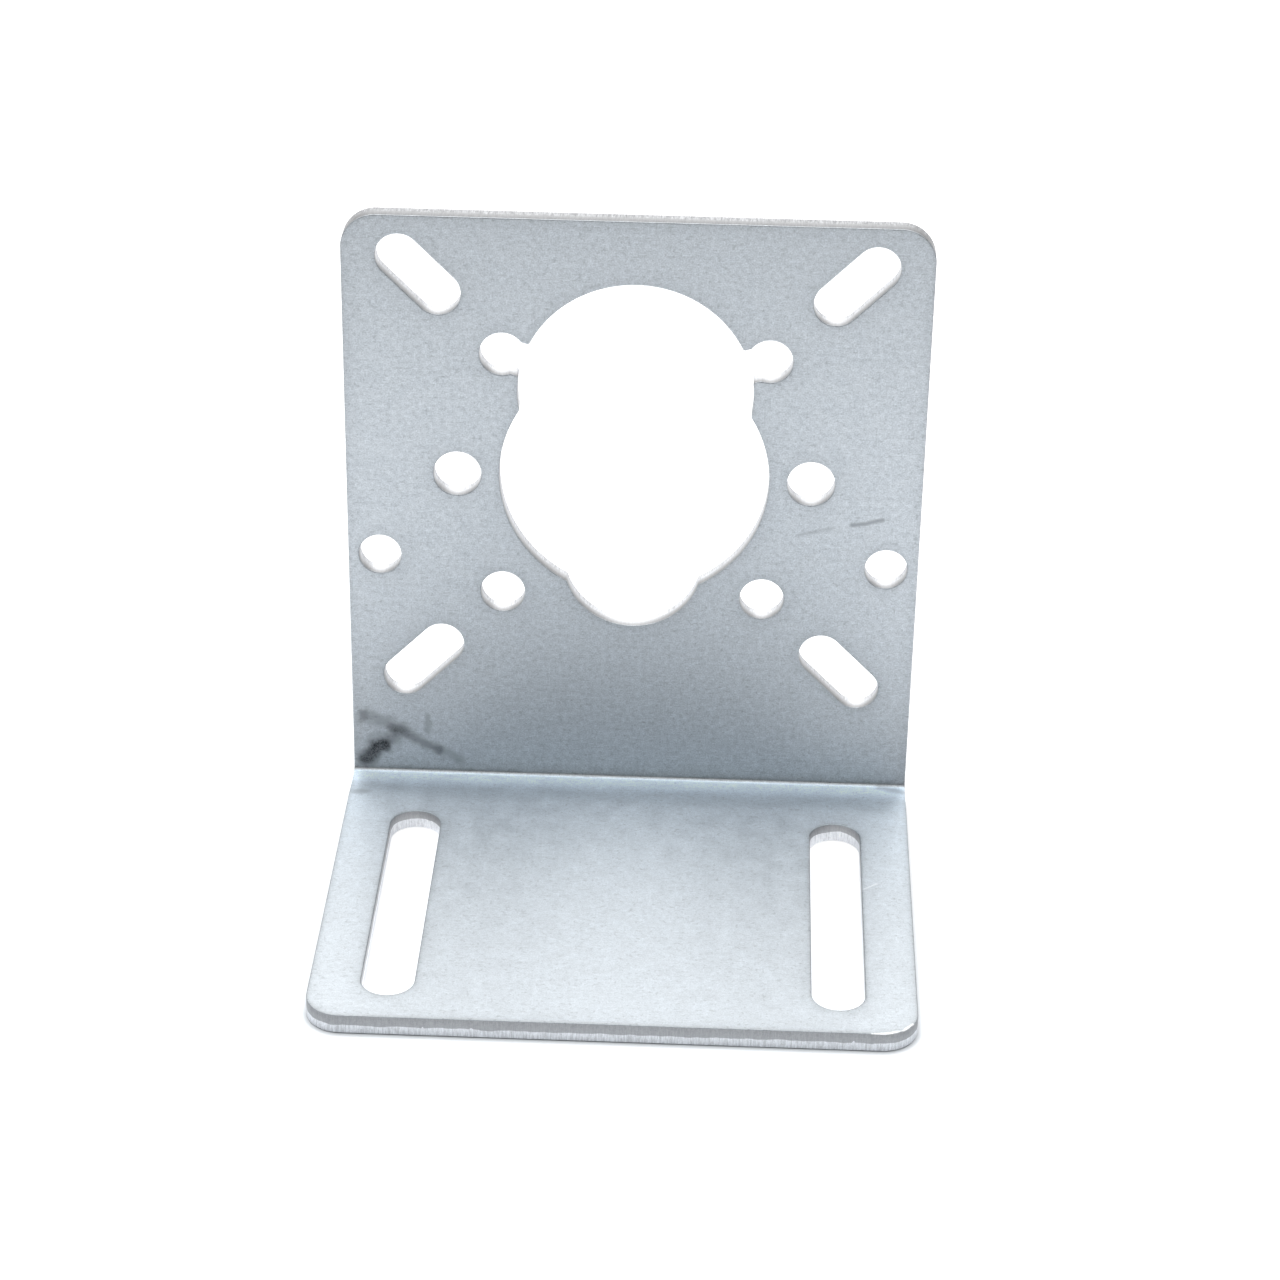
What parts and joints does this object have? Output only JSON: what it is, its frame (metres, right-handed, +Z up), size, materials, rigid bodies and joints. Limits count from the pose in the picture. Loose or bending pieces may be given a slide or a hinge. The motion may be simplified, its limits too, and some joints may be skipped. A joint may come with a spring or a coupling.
{
  "type": "motor mounting bracket",
  "caption": "L-shaped folded steel bracket with a punched motor opening in its upright plate and two long slots in its base.",
  "frame": {"origin": "middle of the width and of the depth, on the underside of the base", "axes": "+Z up along the plate, +Y from the base's front edge towards the plate, X along the fold"},
  "size_m": [0.06, 0.049, 0.0665],
  "materials": {
    "zinc_steel": "satin zinc coating, pale blue-grey, with sheared edges slightly warmer"
  },
  "bodies": {
    "root": {"bracket": "zinc_steel"}
  },
  "joints": []
}
